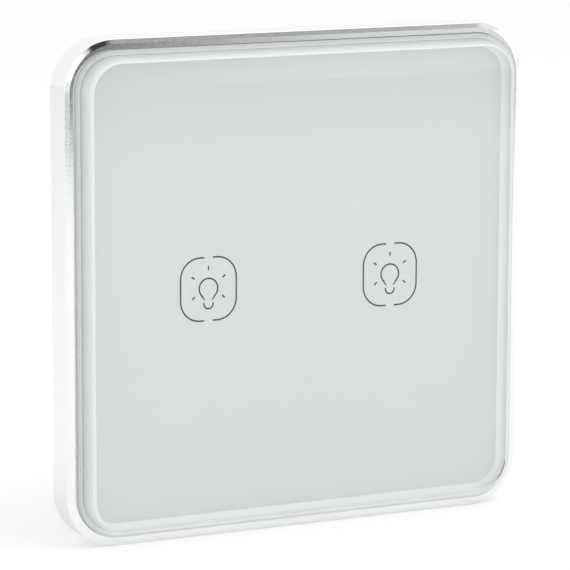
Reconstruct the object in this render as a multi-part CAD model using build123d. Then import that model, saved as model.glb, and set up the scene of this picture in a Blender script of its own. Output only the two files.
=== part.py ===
from build123d import *
import os
from math import cos, pi, radians, sin

# Two-gang touch switch for one square wall box: a bevelled glass plate in a metal bezel that
# clips over a housing with the boards, relays and terminals.
# X runs right and Z up as seen from the room. Y runs into the wall: the wall plane is y = 0, the
# glass is at negative y and the housing at positive y. A piece's front is its smaller y.

# Bezel and glass
plate_side = 86.0
plate_corner_radius = 8.8
bezel_chamfer_width = 0.8
bezel_chamfer_depth = 0.4
bezel_rim_width = 0.95
bezel_skirt_wall = 1.6
bezel_wall_gap = 0.2
bezel_ledge_width = 3.3
bezel_ledge_thickness = 1.0
glass_thickness = 5.0
glass_proud = 3.4
glass_bevel_width = 1.95
glass_bevel_depth = 2.3
glass_edge_clearance = 0.1

# Print, tape and carrier behind the glass
print_margin = 2.4
print_thickness = 0.1
tape_thickness = 0.3
tape_width = 10.5
tape_edge_gap = 0.3
carrier_thickness = 1.4
carrier_clearance = 0.2
carrier_corner_radius = 3.0
carrier_rib_wall = 1.0
carrier_rib_gap = 0.3
carrier_key_hole_radius = 7.0
carrier_screw_window = 9.4
panel_gap = 1.4

# Lamp symbol printed for each key
key_offset = 17.3
symbol_stroke = 0.26
symbol_width = 10.6
symbol_height = 11.1
symbol_corner_radius = 3.7
symbol_gap = 1.6
bulb_radius = 1.85
bulb_lift = 0.1
bulb_neck_width = 1.66
bulb_neck_drop = 2.0
bulb_cap_radius = 0.85
bulb_cap_drop = 2.53
bulb_cap_arm = 0.2
ray_length = 0.67
top_ray_start = 3.29
side_ray_start = 3.17
side_ray_angle = 35.5
lower_ray_x = 2.78
lower_ray_drop = 1.43
lower_ray_tilt = 47

# Clips that hold the front panel on the housing flange
clip_offset_x = 20.0
clip_width = 6.0
clip_finger_thickness = 0.8
clip_foot_depth = 1.0
clip_foot_height = 2.6
clip_barb = 0.7
clip_slot_clearance = 0.15
clip_edge_distance = 4.5
clip_tip_gap = 0.25
clip_relief_margin = 1.5

# Housing that sits in the wall box
flange_thickness = 2.0
flange_skin = 1.0
flange_gap = 1.4
flange_corner_radius = 6.0
wall_screw_spacing = 60.3
wall_slot_radius = 2.1
wall_slot_length = 6.2
board_side = 49.0
board_clearance = 0.4
housing_wall = 1.6
housing_corner_radius = 3.0
housing_depth = 24.0
post_side = 5.4
post_screw_inset = 2.3

# Boards and the cover between them
touch_board_side = 47.0
touch_board_thickness = 1.0
touch_board_recess = 0.4
touch_board_notch = 4.2
touch_board_screw_offset = 19.6
touch_board_standoff = 1.0
standoff_radius = 2.2
cover_thickness = 1.5
cover_clearance = 0.3
cover_rib_length = 12.0
cover_leg_radius = 2.3
board_gap = 2.5
power_board_thickness = 1.6
lead_radius = 0.4
lead_clearance = 0.1
lead_tail = 1.0
seat_gap = 0.2

# Small screws
cover_screw_radius = 1.3
cover_screw_length = 11.0
cover_screw_head_radius = 2.1
cover_screw_head_height = 1.4
board_screw_radius = 1.0
board_screw_length = 3.0
board_screw_head_radius = 1.8
board_screw_head_height = 1.2
screw_passage = 0.2
thread_clearance = 0.02
recess_width = 0.5
recess_depth = 0.7
recess_reach_share = 0.62

# Touch board parts
spring_radius = 4.6
spring_wire = 0.25
spring_pitch = 1.1
spring_glass_gap = 0.3
spring_seat_gap = 0.02
spring_points_per_turn = 48
key_lamp_width = 3.5
key_lamp_height = 2.8
key_lamp_depth = 1.4
key_lamp_lens_radius = 1.0
key_lamp_lens_depth = 0.2
chip_width = 9.9
chip_height = 3.9
chip_depth = 1.2
chip_standoff = 0.1
chip_place_z = 7.0
chip_lead_pitch = 1.27
chip_lead_count = 8
chip_lead_width = 0.4
chip_lead_length = 1.0
chip_lead_thickness = 0.2

# Plug and socket between the boards
link_place_z = -12.5
link_pin_pitch = 2.0
link_pin_count = 5
link_pin_side = 0.5
link_pin_front = 0.4
link_width = 2.4
header_depth = 1.6
socket_depth = 3.2
socket_wall = 0.4
link_pin_clearance = 0.1
link_window_clearance = 0.6

# Terminals
terminal_pitch = 8.0
terminal_count = 4
terminal_block_height = 9.8
terminal_wall = 1.2
terminal_floor = 0.5
terminal_back_gap = 0.2
wire_hole_radius = 2.05
cage_width = 6.0
cage_length = 5.0
cage_side_wall = 0.8
cage_thread_wall = 1.4
cage_floor_wall = 1.0
cage_clearance = 0.15
cage_end_clearance = 0.2
cage_travel_share = 1 / 3
cage_stop_gap = 0.1
clamp_screw_radius = 1.5
clamp_screw_clearance = 0.05
clamp_head_radius = 2.5
clamp_head_height = 2.0
clamp_head_clearance = 0.2
clamp_head_gap = 0.05
clamp_head_sink = 0.45
clamp_ledge = 1.0
clamp_tip_gap = 0.3
driver_hole_radius = 2.3
contact_width = 4.0
contact_thickness = 0.8
contact_thread_gap = 0.2
contact_leg_width = 1.2
contact_clearance = 0.05
contact_back_wall = 1.6

# Relays
relay_width = 10.2
relay_length = 18.4
relay_back_gap = 1.4
leaf_headroom = 0.4
relay_wall = 0.8
relay_first_x = -13.6
relay_spacing = 11.0
relay_place_z = 10.5
relay_base_thickness = 1.6
relay_base_clearance = 0.05
yoke_thickness = 1.0
yoke_width = 4.6
yoke_foot_length = 9.0
yoke_edge_gap = 1.0
pivot_gap = 0.1
core_radius = 1.5
core_rivet_radius = 1.1
core_place_z = -1.8
core_pole_radius = 2.6
core_pole_thickness = 0.6
bobbin_flange = 7.0
bobbin_flange_thickness = 0.7
bobbin_tube_wall = 0.5
bobbin_clearance = 0.05
winding_radius = 3.2
armature_thickness = 1.0
armature_width = 6.0
armature_front = 4.2
armature_heel = 0.7
pole_gap = 0.6
leaf_width = 3.2
leaf_thickness = 0.3
leaf_overlap = 3.6
contact_button_radius = 1.2
contact_button_height = 0.8
leaf_end = 1.3
contact_button_margin = 0.3
contact_opening = 0.8
fixed_strip_thickness = 0.6
fixed_strip_offset = 0.9

# Other parts of the power board
fuse_x = -16.0
fuse_width = 4.0
fuse_length = 8.5
fuse_height = 8.0
varistor_x = -8.5
varistor_radius = 4.6
varistor_thickness = 3.6
varistor_lift = 1.4
film_capacitor_x = 3.2
film_capacitor_width = 13.0
film_capacitor_length = 6.0
film_capacitor_height = 11.5
middle_row_z = -7.2
part_edge_radius = 0.5
smoothing_capacitor_x = 16.6
smoothing_capacitor_radius = 4.0
smoothing_capacitor_height = 11.5
smoothing_capacitor_groove = 0.35
smoothing_capacitor_groove_place = 1.6
transformer_x = 13.6
transformer_z = 9.6
transformer_width = 10.4
transformer_length = 12.0
transformer_base_height = 1.4
transformer_core_height = 9.0
transformer_core_depth = 5.0
transformer_core_leg = 1.6
transformer_winding_gap = 0.15
rectifier_x = 5.4
rectifier_z = 9.0
rectifier_width = 4.0
rectifier_length = 6.4
rectifier_height = 2.6
lead_pitch_share = 0.62

# One overrun for every cut
overrun = 0.5

# Places worked out from the sizes above
glass_side = plate_side - 2 * (bezel_chamfer_width + bezel_rim_width)
glass_corner_radius = plate_corner_radius - bezel_chamfer_width - bezel_rim_width
flange_front = -flange_thickness
carrier_back = flange_front - panel_gap
carrier_front = carrier_back - carrier_thickness
print_back = carrier_front - tape_thickness
glass_back = print_back - print_thickness
glass_front = glass_back - glass_thickness
rim_front = glass_front + glass_proud
ledge_back = carrier_front + bezel_ledge_thickness
pocket_side = glass_side + 2 * glass_edge_clearance
ledge_opening = pocket_side - 2 * bezel_ledge_width
skirt_side = plate_side - 2 * bezel_skirt_wall
carrier_side = ledge_opening - 2 * carrier_clearance
flange_side = skirt_side - 2 * flange_gap
clip_place_z = flange_side / 2 - clip_edge_distance
housing_inside = board_side + 2 * board_clearance
housing_side = housing_inside + 2 * housing_wall
housing_floor = housing_depth - housing_wall
post_screw_place = board_side / 2 - post_screw_inset
touch_board_front = flange_front + touch_board_recess
touch_board_back = touch_board_front + touch_board_thickness
cover_front = touch_board_back + touch_board_standoff
cover_back = cover_front + cover_thickness
power_board_front = cover_back + board_gap
power_board_back = power_board_front + power_board_thickness
part_seat = power_board_back + seat_gap
header_back = touch_board_back + header_depth
socket_front = power_board_front - socket_depth
link_length = link_pin_count * link_pin_pitch
link_places = [(step - (link_pin_count - 1) / 2) * link_pin_pitch for step in range(link_pin_count)]
key_places = {"left": -key_offset, "right": key_offset}

block_width = terminal_count * terminal_pitch
block_bottom = -(housing_inside / 2 - seat_gap)
block_top = block_bottom + terminal_block_height
block_back = housing_floor - terminal_back_gap
cell_bottom = block_bottom + terminal_wall
cell_top = cell_bottom + cage_length + 2 * cage_end_clearance
clamp_z = (cell_bottom + cell_top) / 2
cell_front = power_board_back + terminal_floor
clamp_head_front = block_back - clamp_head_sink - clamp_head_height
cell_back = clamp_head_front - clamp_head_gap - clamp_ledge
cage_front = cell_front + cage_stop_gap
cage_room = cell_back - cage_stop_gap - cage_front
cage_back = cage_front + cage_room * (1 - cage_travel_share)
window_front = cage_front + cage_floor_wall
window_back = cage_back - cage_thread_wall
contact_back = window_back - contact_thread_gap
contact_front = contact_back - contact_thickness
contact_top = cell_top + contact_back_wall
wire_y = (window_front + contact_front) / 2
terminal_places = [(step - (terminal_count - 1) / 2) * terminal_pitch for step in range(terminal_count)]

relay_seat = part_seat
relay_base_back = relay_seat + relay_base_thickness
yoke_foot_back = relay_base_back + yoke_thickness
relay_case_back = housing_floor - relay_back_gap
armature_back_face = relay_case_back - relay_wall - leaf_headroom - leaf_thickness
armature_front_face = armature_back_face - armature_thickness
yoke_top = armature_front_face - pivot_gap
pole_back = armature_front_face - pole_gap
pole_front = pole_back - core_pole_thickness
coil_front = yoke_foot_back + bobbin_clearance
coil_back = pole_front - bobbin_clearance
relay_places = [relay_first_x, relay_first_x + relay_spacing]
relay_inside_length = relay_length - 2 * relay_wall
yoke_outer_z = -(relay_inside_length / 2 - yoke_edge_gap)
pivot_z = yoke_outer_z + yoke_thickness / 2
button_z = relay_inside_length / 2 - leaf_end - contact_button_margin - contact_button_radius
fixed_button_back = armature_back_face - contact_button_height - contact_opening


def on_plane(depth):
    """Sketch plane across the depth axis, with the sketch's X and Y along X and Z."""
    return Plane(origin=(0, depth, 0), x_dir=(1, 0, 0), z_dir=(0, -1, 0))


def slab(x, z, front, back, width, height, radius=0):
    """Plate or block from one depth to another, with rounded corners where a radius is given."""
    outline = RectangleRounded(width, height, radius) if radius > 0 else Rectangle(width, height)
    return extrude(on_plane(back) * Pos(x, z) * outline, back - front)


def rod(x, z, front, back, radius):
    """Round bar along the depth axis."""
    return extrude(on_plane(back) * Pos(x, z) * Circle(radius), back - front)


def bevelled_plate(side, radius, front, back, bevel_width, bevel_depth):
    """Square plate whose front edges slope back evenly all round."""
    shoulder = front + bevel_depth
    lower = on_plane(shoulder) * RectangleRounded(side, side, radius)
    upper_side = side - 2 * bevel_width
    upper = on_plane(front) * RectangleRounded(upper_side, upper_side, radius - bevel_width)
    return slab(0, 0, shoulder, back, side, side, radius) + loft([lower, upper], ruled=True)


def ring_slab(front, back, side, radius, opening, opening_radius):
    """Square frame with a square opening."""
    body = slab(0, 0, front, back, side, side, radius)
    return body - slab(0, 0, front - overrun, back + overrun, opening, opening, opening_radius)


def recess_cut(x, z, face, radius, towards_back):
    """Cross recess of a screw head whose face is at the given depth."""
    reach = 2 * radius * recess_reach_share
    front, back = face - overrun, face + recess_depth
    if not towards_back:
        front, back = face - recess_depth, face + overrun
    return slab(x, z, front, back, reach, recess_width) + slab(x, z, front, back, recess_width, reach)


def four_corners(offset_x, offset_z):
    """The four places at plus and minus two offsets."""
    return [(sign_x * offset_x, sign_z * offset_z) for sign_x in (-1, 1) for sign_z in (-1, 1)]


def two_leads(x, z, spread, along_z=False):
    """Places of a part's two leads, either side of its middle."""
    half = spread / 2
    return [(x, z - half), (x, z + half)] if along_z else [(x - half, z), (x + half, z)]


# Where each part of the power board has its leads
fuse_leads = two_leads(fuse_x, middle_row_z, fuse_length * lead_pitch_share, along_z=True)
varistor_leads = two_leads(varistor_x, middle_row_z, varistor_radius, along_z=True)
film_capacitor_leads = two_leads(film_capacitor_x, middle_row_z, film_capacitor_width * lead_pitch_share)
smoothing_capacitor_leads = two_leads(smoothing_capacitor_x, middle_row_z, smoothing_capacitor_radius)
rectifier_leads = two_leads(rectifier_x, rectifier_z, rectifier_length * lead_pitch_share, along_z=True)
transformer_lead_x = transformer_width * lead_pitch_share / 2
transformer_lead_z = transformer_length / 3
transformer_leads = [
    (transformer_x + side * transformer_lead_x, transformer_z + end * transformer_lead_z)
    for side in (-1, 1)
    for end in (-1, 1)
]


def leads(places, back):
    """Wire leads from a part down through the power board."""
    return [rod(x, z, power_board_front - lead_tail, back, lead_radius) for x, z in places]


def glass_panel():
    return bevelled_plate(
        glass_side, glass_corner_radius, glass_front, glass_back, glass_bevel_width, glass_bevel_depth
    )


def bezel_frame():
    """Metal ring with a chamfered rim, a pocket for the glass and a ledge behind it."""
    frame = bevelled_plate(
        plate_side, plate_corner_radius, rim_front, -bezel_wall_gap, bezel_chamfer_width, bezel_chamfer_depth
    )
    pocket_radius = glass_corner_radius + glass_edge_clearance
    frame -= slab(0, 0, rim_front - overrun, carrier_front, pocket_side, pocket_side, pocket_radius)
    frame -= slab(0, 0, carrier_front - overrun, ledge_back + overrun, ledge_opening, ledge_opening,
                  carrier_corner_radius + carrier_clearance)
    return frame - slab(0, 0, ledge_back, 0, skirt_side, skirt_side, plate_corner_radius - bezel_skirt_wall)


def ray_places():
    """Middle and tilt of each of the five rays round the bulb."""
    top = top_ray_start + ray_length / 2
    reach = side_ray_start + ray_length / 2
    side_x = reach * cos(radians(side_ray_angle))
    side_z = reach * sin(radians(side_ray_angle))
    rays = [(0, top, 90)]
    for side in (-1, 1):
        rays.append((side * side_x, side_z, side * side_ray_angle))
        rays.append((side * lower_ray_x, -lower_ray_drop, -side * lower_ray_tilt))
    return rays


def symbol_sketch():
    """Broken rounded square round a lamp bulb with five rays."""
    inner_width = symbol_width - 2 * symbol_stroke
    inner_height = symbol_height - 2 * symbol_stroke
    sketch = RectangleRounded(symbol_width, symbol_height, symbol_corner_radius)
    sketch -= RectangleRounded(inner_width, inner_height, symbol_corner_radius - symbol_stroke)
    sketch -= Rectangle(symbol_gap, symbol_height + overrun)
    half_neck = bulb_neck_width / 2
    inner_neck = half_neck - symbol_stroke
    shoulder = bulb_radius * sin(radians(45))
    inner_shoulder = shoulder - symbol_stroke
    bulb = Circle(bulb_radius)
    bulb += Polygon((-shoulder, -shoulder), (-half_neck, -bulb_neck_drop), (half_neck, -bulb_neck_drop),
                    (shoulder, -shoulder), align=None)
    bulb -= Circle(bulb_radius - symbol_stroke)
    bulb -= Polygon((-inner_shoulder, -shoulder), (-inner_neck, -bulb_neck_drop),
                    (inner_neck, -bulb_neck_drop), (inner_shoulder, -shoulder), align=None)
    cap = Pos(0, -bulb_cap_drop) * (
        Circle(bulb_cap_radius + symbol_stroke / 2) - Circle(bulb_cap_radius - symbol_stroke / 2)
    )
    half_cap = bulb_cap_radius + symbol_stroke
    cap -= Pos(0, half_cap - bulb_cap_drop) * Rectangle(2 * half_cap, 2 * half_cap)
    for side in (-1, 1):
        arm = Rectangle(symbol_stroke, bulb_cap_arm)
        cap += Pos(side * bulb_cap_radius, bulb_cap_arm / 2 - bulb_cap_drop) * arm
    sketch += Pos(0, bulb_lift) * bulb
    sketch += cap
    for x, z, tilt in ray_places():
        sketch += Pos(x, z) * Rot(0, 0, tilt) * Rectangle(ray_length, symbol_stroke)
    return sketch


def key_symbols():
    """Clear windows in the print that make the lamp symbols, one solid for each stroke."""
    strokes = []
    for x in key_places.values():
        for face in symbol_sketch().faces():
            strokes.append(extrude(on_plane(print_back) * Pos(x, 0) * face, print_thickness))
    return strokes


def back_print():
    """Colour coat on the back of the glass, open at the symbols."""
    side = glass_side - 2 * print_margin
    coat = slab(0, 0, glass_back, print_back, side, side, glass_corner_radius - print_margin)
    for x in key_places.values():
        window = on_plane(print_back + overrun) * Pos(x, 0) * symbol_sketch()
        coat -= extrude(window, print_thickness + 2 * overrun)
    return coat


def bonding_tape():
    side = glass_side - 2 * tape_edge_gap
    opening = side - 2 * tape_width
    return ring_slab(print_back, carrier_front, side, glass_corner_radius - tape_edge_gap, opening,
                     carrier_corner_radius)


def clip_places():
    return four_corners(clip_offset_x, clip_place_z)


def clip_outward(z):
    return 1 if z > 0 else -1


def panel_carrier():
    """Moulded plate behind the glass, with a stiffening rib, key holes and pockets for the clips."""
    carrier = slab(0, 0, carrier_front, carrier_back, carrier_side, carrier_side, carrier_corner_radius)
    rib_back = flange_front - carrier_rib_gap
    carrier += ring_slab(carrier_back - overrun, rib_back, carrier_side, carrier_corner_radius,
                         carrier_side - 2 * carrier_rib_wall, carrier_corner_radius - carrier_rib_wall)
    for x in key_places.values():
        carrier -= rod(x, 0, carrier_front - overrun, carrier_back + overrun, carrier_key_hole_radius)
    for side in (-1, 1):
        carrier -= slab(side * wall_screw_spacing / 2, 0, carrier_front - overrun, carrier_back + overrun,
                        carrier_screw_window, carrier_screw_window, carrier_rib_wall)
    for x, z in clip_places():
        foot_z = z - clip_outward(z) * (clip_foot_height - clip_finger_thickness) / 2
        carrier -= slab(x, foot_z, carrier_back - clip_foot_depth, carrier_back + overrun,
                        clip_width, clip_foot_height)
    return carrier


def panel_clip(x, z):
    """Sprung clip: foot in the carrier, finger through the flange and a barb behind its skin."""
    outward = clip_outward(z)
    foot_z = z - outward * (clip_foot_height - clip_finger_thickness) / 2
    skin_back = flange_front + flange_skin
    clip = slab(x, foot_z, carrier_back - clip_foot_depth, carrier_back, clip_width, clip_foot_height)
    clip += slab(x, z, carrier_back - clip_foot_depth, -clip_tip_gap, clip_width, clip_finger_thickness)
    barb_z = z + outward * clip_barb / 2
    barb_front = skin_back + thread_clearance
    return clip + slab(x, barb_z, barb_front, -clip_tip_gap, clip_width, clip_finger_thickness + clip_barb)


def panel_clips():
    return [panel_clip(x, z) for x, z in clip_places()]


def wall_slot(side):
    """Slot for a wall box screw."""
    middle = side * wall_screw_spacing / 2
    straight = wall_slot_length - 2 * wall_slot_radius
    outline = Rectangle(straight, 2 * wall_slot_radius)
    for end in (-1, 1):
        outline += Pos(end * straight / 2, 0) * Circle(wall_slot_radius)
    return extrude(on_plane(overrun) * Pos(middle, 0) * outline, flange_thickness + 2 * overrun)


def mounting_frame():
    """Plate against the wall, with slots for the wall screws and for the clips of the front panel."""
    frame = slab(0, 0, flange_front, 0, flange_side, flange_side, flange_corner_radius)
    frame -= slab(0, 0, flange_front - overrun, overrun, housing_side, housing_side, housing_corner_radius)
    for side in (-1, 1):
        frame -= wall_slot(side)
    slot_width = clip_width + 2 * clip_slot_clearance
    slot_height = clip_finger_thickness + 2 * clip_slot_clearance
    relief_width = clip_width + 2 * clip_relief_margin
    relief_height = clip_finger_thickness + clip_barb + 2 * clip_relief_margin
    for x, z in clip_places():
        barb_z = z + clip_outward(z) * clip_barb / 2
        frame -= slab(x, z, flange_front - overrun, overrun, slot_width, slot_height)
        frame -= slab(x, barb_z, flange_front + flange_skin, overrun, relief_width, relief_height)
    return frame


def rear_housing():
    """Deep box behind the mounting frame, with posts for the boards and holes for the terminals."""
    housing = slab(0, 0, flange_front, housing_depth, housing_side, housing_side, housing_corner_radius)
    inner_radius = housing_corner_radius - housing_wall
    housing -= slab(0, 0, flange_front - overrun, housing_floor, housing_inside, housing_inside, inner_radius)
    post_middle = housing_inside / 2 - post_side / 2
    for x, z in four_corners(1, 1):
        housing += slab(x * (post_middle + housing_wall / 4), z * (post_middle + housing_wall / 4),
                        power_board_back, housing_floor + housing_wall / 2,
                        post_side + housing_wall / 2, post_side + housing_wall / 2)
        hole_back = cover_front + cover_screw_length + overrun
        housing -= rod(x * post_screw_place, z * post_screw_place, power_board_back - overrun, hole_back,
                       cover_screw_radius + thread_clearance)
    for x in terminal_places:
        wire_hole = Pos(x, wire_y, block_bottom) * Cylinder(wire_hole_radius, 4 * housing_wall)
        housing -= wire_hole
        housing -= rod(x, clamp_z, housing_floor - overrun, housing_depth + overrun, driver_hole_radius)
    return housing


def front_cover():
    """Insulating cover between the boards, on legs that hold the power board down."""
    side = housing_inside - 2 * cover_clearance
    cover = slab(0, 0, cover_front, cover_back, side, side, housing_corner_radius - housing_wall)
    screw_hole = cover_screw_radius + screw_passage
    for x, z in four_corners(post_screw_place, post_screw_place):
        cover += rod(x, z, cover_front, power_board_front, cover_leg_radius)
        cover -= rod(x, z, cover_front - overrun, power_board_front + overrun, screw_hole)
    for end in (-1, 1):
        place = end * touch_board_screw_offset
        cover += rod(0, place, touch_board_back, cover_front, standoff_radius)
        cover -= rod(0, place, touch_board_back - overrun, cover_back + overrun,
                     board_screw_radius + thread_clearance)
        rib_x = end * (touch_board_side / 2 - cover_thickness)
        cover += slab(rib_x, 0, touch_board_back, cover_front, cover_thickness, cover_rib_length)
    window_length = link_length + 2 * (socket_wall + link_window_clearance)
    window_width = link_width + 2 * (socket_wall + link_window_clearance)
    return cover - slab(0, link_place_z, cover_front - overrun, cover_back + overrun,
                        window_length, window_width)


def small_screw(x, z, head_back, radius, length, head_radius, head_height):
    """Cross-head screw driven from the room side, its head resting at head_back."""
    screw = rod(x, z, head_back - head_height, head_back, head_radius)
    screw += rod(x, z, head_back, head_back + length, radius)
    return screw - recess_cut(x, z, head_back - head_height, head_radius, towards_back=True)


def cover_screws():
    return [
        small_screw(x, z, cover_front, cover_screw_radius, cover_screw_length, cover_screw_head_radius,
                    cover_screw_head_height)
        for x, z in four_corners(post_screw_place, post_screw_place)
    ]


def board_screws():
    return [
        small_screw(0, end * touch_board_screw_offset, touch_board_front, board_screw_radius,
                    board_screw_length, board_screw_head_radius, board_screw_head_height)
        for end in (-1, 1)
    ]


def touch_board():
    """Front board with cut-off corners that clear the cover screws."""
    board = slab(0, 0, touch_board_front, touch_board_back, touch_board_side, touch_board_side)
    for x, z in four_corners(touch_board_side / 2, touch_board_side / 2):
        board -= slab(x, z, touch_board_front - overrun, touch_board_back + overrun,
                      2 * touch_board_notch, 2 * touch_board_notch)
    for end in (-1, 1):
        board -= rod(0, end * touch_board_screw_offset, touch_board_front - overrun,
                     touch_board_back + overrun, board_screw_radius + lead_clearance)
    hole_side = link_pin_side + 2 * link_pin_clearance
    for x in link_places:
        board -= slab(x, link_place_z, touch_board_front - overrun, touch_board_back + overrun,
                      hole_side, hole_side)
    return board


def spring_path():
    """Middle line of a touch spring's wire, from its front end to its seat on the board."""
    lowest = touch_board_front - spring_seat_gap - spring_wire
    highest = print_back + spring_glass_gap + spring_wire
    return Helix(pitch=spring_pitch, height=lowest - highest, radius=spring_radius), lowest


def spring_least_gap():
    """Least gap between one turn of the spring and the next, measured on points of its path."""
    path, _ = spring_path()
    turns = path.length / (2 * pi * spring_radius)
    count = round(turns * spring_points_per_turn)
    points = [path @ (step / count) for step in range(count + 1)]
    apart = spring_points_per_turn // 2
    gaps = [(points[i] - points[j]).length for i in range(count + 1) for j in range(i + apart, count + 1)]
    return min(gaps) - 2 * spring_wire


def touch_spring(x):
    """Coil spring that carries the finger's charge from the glass to the board."""
    path, seat = spring_path()
    section = Plane(origin=path @ 0, z_dir=path % 0) * Circle(spring_wire)
    return on_plane(seat) * Pos(x, 0) * sweep(section, path=path, is_frenet=True)


def key_lamp(x):
    """Surface-mounted lamp in the middle of a touch spring."""
    front = touch_board_front - key_lamp_depth
    lamp = slab(x, 0, front, touch_board_front, key_lamp_width, key_lamp_height)
    lamp -= rod(x, 0, front - overrun, front + key_lamp_lens_depth, key_lamp_lens_radius)
    return lamp


def touch_controller():
    """Moulded chip with bent leads along both sides."""
    back = touch_board_front - chip_standoff
    front = back - chip_depth
    chip = slab(0, chip_place_z, front, back, chip_width, chip_height)
    lead_front = (front + back) / 2
    reach = chip_height / 2 + chip_lead_length
    for step in range(chip_lead_count):
        x = (step - (chip_lead_count - 1) / 2) * chip_lead_pitch
        chip += slab(x, chip_place_z, lead_front, lead_front + chip_lead_thickness, chip_lead_width,
                     chip_height + chip_lead_length)
        for end in (-1, 1):
            bend_z = chip_place_z + end * (chip_height + chip_lead_length) / 2
            chip += slab(x, bend_z, lead_front, touch_board_front, chip_lead_width, chip_lead_thickness)
            foot_z = chip_place_z + end * (reach + (chip_height + chip_lead_length) / 2) / 2
            chip += slab(x, foot_z, touch_board_front - chip_lead_thickness, touch_board_front,
                         chip_lead_width, chip_lead_length / 2 + chip_lead_thickness)
    return chip


def link_header():
    """Pin strip on the back of the touch board."""
    header = slab(0, link_place_z, touch_board_back, header_back, link_length, link_width)
    pin_back = power_board_front - 2 * socket_wall
    for x in link_places:
        header += slab(x, link_place_z, touch_board_front - link_pin_front, pin_back,
                       link_pin_side, link_pin_side)
    return header


def link_socket():
    """Socket strip on the power board that takes the pins."""
    socket = slab(0, link_place_z, socket_front, power_board_front, link_length + 2 * socket_wall,
                  link_width + 2 * socket_wall)
    hole_side = link_pin_side + 2 * link_pin_clearance
    for x in link_places:
        socket -= slab(x, link_place_z, socket_front - overrun, power_board_front - socket_wall,
                       hole_side, hole_side)
    return socket


def power_board():
    """Main board, drilled for every lead and held at its corners."""
    board = slab(0, 0, power_board_front, power_board_back, board_side, board_side)
    for x, z in four_corners(post_screw_place, post_screw_place):
        board -= rod(x, z, power_board_front - overrun, power_board_back + overrun,
                     cover_screw_radius + screw_passage)
    places = fuse_leads + varistor_leads + film_capacitor_leads + smoothing_capacitor_leads
    places += rectifier_leads + transformer_leads
    for x in relay_places:
        places += relay_lead_places(x)
    lead_hole = lead_radius + lead_clearance
    for x, z in places:
        board -= rod(x, z, power_board_front - overrun, power_board_back + overrun, lead_hole)
    leg_z = contact_top - contact_thickness / 2
    for x in terminal_places:
        board -= slab(x, leg_z, power_board_front - overrun, power_board_back + overrun,
                      contact_leg_width + 2 * lead_clearance, contact_thickness + 2 * lead_clearance)
    return board


def terminal_block():
    """Moulded block with a cell, a screw well and a wire hole for each terminal."""
    middle_z = (block_bottom + block_top) / 2
    block = slab(0, middle_z, power_board_back, block_back, block_width, block_top - block_bottom)
    slot_width = contact_width + 2 * contact_clearance
    cell_width = cage_width + 2 * cage_clearance
    for x in terminal_places:
        block -= slab(x, clamp_z, cell_front, cell_back, cell_width, cell_top - cell_bottom)
        block -= rod(x, clamp_z, cell_back - overrun, block_back + overrun,
                     clamp_screw_radius + clamp_screw_clearance)
        block -= rod(x, clamp_z, cell_back + clamp_ledge, block_back + overrun,
                     clamp_head_radius + clamp_head_clearance)
        block -= Pos(x, wire_y, block_bottom) * Cylinder(wire_hole_radius, 2 * terminal_wall + overrun)
        slot_height = contact_top - cell_top + overrun + contact_clearance
        block -= slab(x, cell_top - overrun + slot_height / 2, contact_front - contact_clearance,
                      contact_back + contact_clearance, slot_width, slot_height)
        block -= slab(x, contact_top - contact_thickness / 2, power_board_back - overrun, contact_back,
                      contact_leg_width + 2 * contact_clearance, contact_thickness + 2 * contact_clearance)
    return block


def terminal_contact(x):
    """Plated bar that the wire is clamped against, with a leg soldered into the board."""
    bottom = cell_bottom + cage_end_clearance
    bar = slab(x, (bottom + contact_top) / 2, contact_front, contact_back, contact_width,
               contact_top - bottom)
    leg_front = power_board_front - lead_tail
    return bar + slab(x, contact_top - contact_thickness / 2, leg_front, contact_back,
                      contact_leg_width, contact_thickness)


def terminal_cage(x):
    """Folded steel cage that climbs the screw and clamps the wire."""
    cage = slab(x, clamp_z, cage_front, cage_back, cage_width, cage_length)
    window_width = cage_width - 2 * cage_side_wall
    cage -= slab(x, clamp_z, window_front, window_back, window_width, cage_length + 2 * overrun)
    return cage - rod(x, clamp_z, window_back - overrun, cage_back + overrun,
                      clamp_screw_radius + clamp_screw_clearance)


def terminal_screw(x):
    """Captive clamp screw, turned from the back of the housing."""
    head_back = clamp_head_front + clamp_head_height
    tip = contact_back + clamp_tip_gap
    screw = rod(x, clamp_z, tip, clamp_head_front + overrun, clamp_screw_radius)
    screw += rod(x, clamp_z, clamp_head_front, head_back, clamp_head_radius)
    return screw - recess_cut(x, clamp_z, head_back, clamp_head_radius, towards_back=False)


def relay_lead_places(x):
    """Coil, common and switched leads of a relay."""
    coil_z = relay_place_z + core_place_z
    coil = two_leads(x, coil_z, bobbin_flange - 3 * lead_radius)
    common = (x, relay_place_z + pivot_z)
    switched = (x, relay_place_z + fixed_strip_z() + fixed_strip_thickness / 2)
    return coil + [common, switched]


def fixed_strip_z():
    return relay_inside_length / 2 - fixed_strip_offset - fixed_strip_thickness


def relay_base(x):
    """Moulded base that closes the relay case and holds its leads."""
    gap = 2 * relay_base_clearance
    base = slab(x, relay_place_z, relay_seat, relay_base_back, relay_width - 2 * relay_wall - gap,
                relay_inside_length - gap)
    for lead_x, lead_z in relay_lead_places(x):
        base -= rod(lead_x, lead_z, relay_seat - overrun, relay_base_back + overrun, lead_radius)
    return base


def relay_case(x):
    case = slab(x, relay_place_z, relay_seat, relay_case_back, relay_width, relay_length, relay_wall)
    return case - slab(x, relay_place_z, relay_seat - overrun, relay_case_back - relay_wall,
                       relay_width - 2 * relay_wall, relay_inside_length)


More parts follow.
